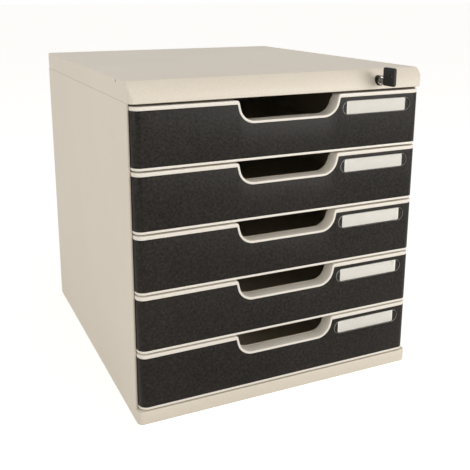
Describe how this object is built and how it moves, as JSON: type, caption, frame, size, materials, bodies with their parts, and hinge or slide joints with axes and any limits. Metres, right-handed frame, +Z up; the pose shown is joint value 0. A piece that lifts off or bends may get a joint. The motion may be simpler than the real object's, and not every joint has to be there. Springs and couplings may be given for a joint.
{
  "type": "desktop file drawer",
  "caption": "Desktop filing cabinet for A4 sheets: a beige casing with stacked pull-out drawers, black fronts with finger cut-outs and label windows, and a key lock in the lid.",
  "frame": {"origin": "the middle of the base plate's flat underside, half way between the side walls and half way between the plane of the drawer fronts and the back", "axes": "+X to the right as seen from the front, -Y towards the front where the drawers open, +Z up"},
  "size_m": [0.291, 0.35, 0.3088],
  "materials": {
    "casing_plastic": "fine grained moulded polystyrene, warm light beige",
    "tray_plastic": "satin moulded polystyrene, light beige",
    "front_plastic": "satin moulded polystyrene, light beige",
    "panel_plastic": "fine grained moulded ABS, warm black",
    "window_plastic": "clear moulded polystyrene",
    "label_paper": "uncoated white label card",
    "pad_rubber": "matt foamed rubber",
    "screw_steel": "zinc plated",
    "lock_steel": "nickel plated stamping",
    "barrel_steel": "black chromated die casting",
    "key_steel": "nickel plated",
    "key_plastic": "black moulded nylon"
  },
  "bodies": {
    "casing": {"base": "casing_plastic", "side_wall_left": "casing_plastic", "side_wall_right": "casing_plastic", "back_panel": "casing_plastic", "lid": "casing_plastic", "lid_screws": "screw_steel", "anti_slip_pads": "pad_rubber", "runners_left": "casing_plastic", "runners_right": "casing_plastic", "lock_barrel": "barrel_steel", "lock_clip": "lock_steel", "lock_bar_guides": "casing_plastic"},
    "drawer_1": {"drawer_tray_1": "tray_plastic", "drawer_front_1": "front_plastic", "front_panel_1": "panel_plastic", "label_window_1": "window_plastic", "label_card_1": "label_paper", "tray_rails_1": "tray_plastic"},
    "drawer_2": {"drawer_tray_2": "tray_plastic", "drawer_front_2": "front_plastic", "front_panel_2": "panel_plastic", "label_window_2": "window_plastic", "label_card_2": "label_paper", "tray_rails_2": "tray_plastic"},
    "drawer_3": {"drawer_tray_3": "tray_plastic", "drawer_front_3": "front_plastic", "front_panel_3": "panel_plastic", "label_window_3": "window_plastic", "label_card_3": "label_paper", "tray_rails_3": "tray_plastic"},
    "drawer_4": {"drawer_tray_4": "tray_plastic", "drawer_front_4": "front_plastic", "front_panel_4": "panel_plastic", "label_window_4": "window_plastic", "label_card_4": "label_paper", "tray_rails_4": "tray_plastic"},
    "drawer_5": {"drawer_tray_5": "tray_plastic", "drawer_front_5": "front_plastic", "front_panel_5": "panel_plastic", "label_window_5": "window_plastic", "label_card_5": "label_paper", "tray_rails_5": "tray_plastic"},
    "lock_core": {"lock_core": "lock_steel", "lock_cam": "lock_steel", "lock_cam_screw": "screw_steel"},
    "lock_bar": {"lock_bar": "lock_steel", "lock_bar_arm": "lock_steel", "lock_bar_hooks": "lock_steel"},
    "key": {"key_blade": "key_steel", "key_head": "key_plastic"}
  },
  "joints": [
    {"name": "drawer_1_slide", "type": "slide", "parent": "casing", "child": "drawer_1", "axis": [0, -1, 0], "range_m": [0, 0.22]},
    {"name": "drawer_2_slide", "type": "slide", "parent": "casing", "child": "drawer_2", "axis": [0, -1, 0], "range_m": [0, 0.22]},
    {"name": "drawer_3_slide", "type": "slide", "parent": "casing", "child": "drawer_3", "axis": [0, -1, 0], "range_m": [0, 0.22]},
    {"name": "drawer_4_slide", "type": "slide", "parent": "casing", "child": "drawer_4", "axis": [0, -1, 0], "range_m": [0, 0.22]},
    {"name": "drawer_5_slide", "type": "slide", "parent": "casing", "child": "drawer_5", "axis": [0, -1, 0], "range_m": [0, 0.22]},
    {"name": "lock_turn", "type": "hinge", "parent": "casing", "child": "lock_core", "pos_m": [0.096, -0.164, 0.2959], "axis": [0, 1, 0], "range_deg": [0, 90]},
    {"name": "lock_bar_slide", "type": "slide", "parent": "casing", "child": "lock_bar", "axis": [0, 0, -1], "range_m": [0, 0.004]},
    {"name": "key_slide", "type": "slide", "parent": "lock_core", "child": "key", "axis": [0, -1, 0], "range_m": [0, 0.03]}
  ],
  "couplings": [
    {"joint": "lock_turn", "follows": "lock_bar_slide", "rad_per_m": 392.7}
  ]
}
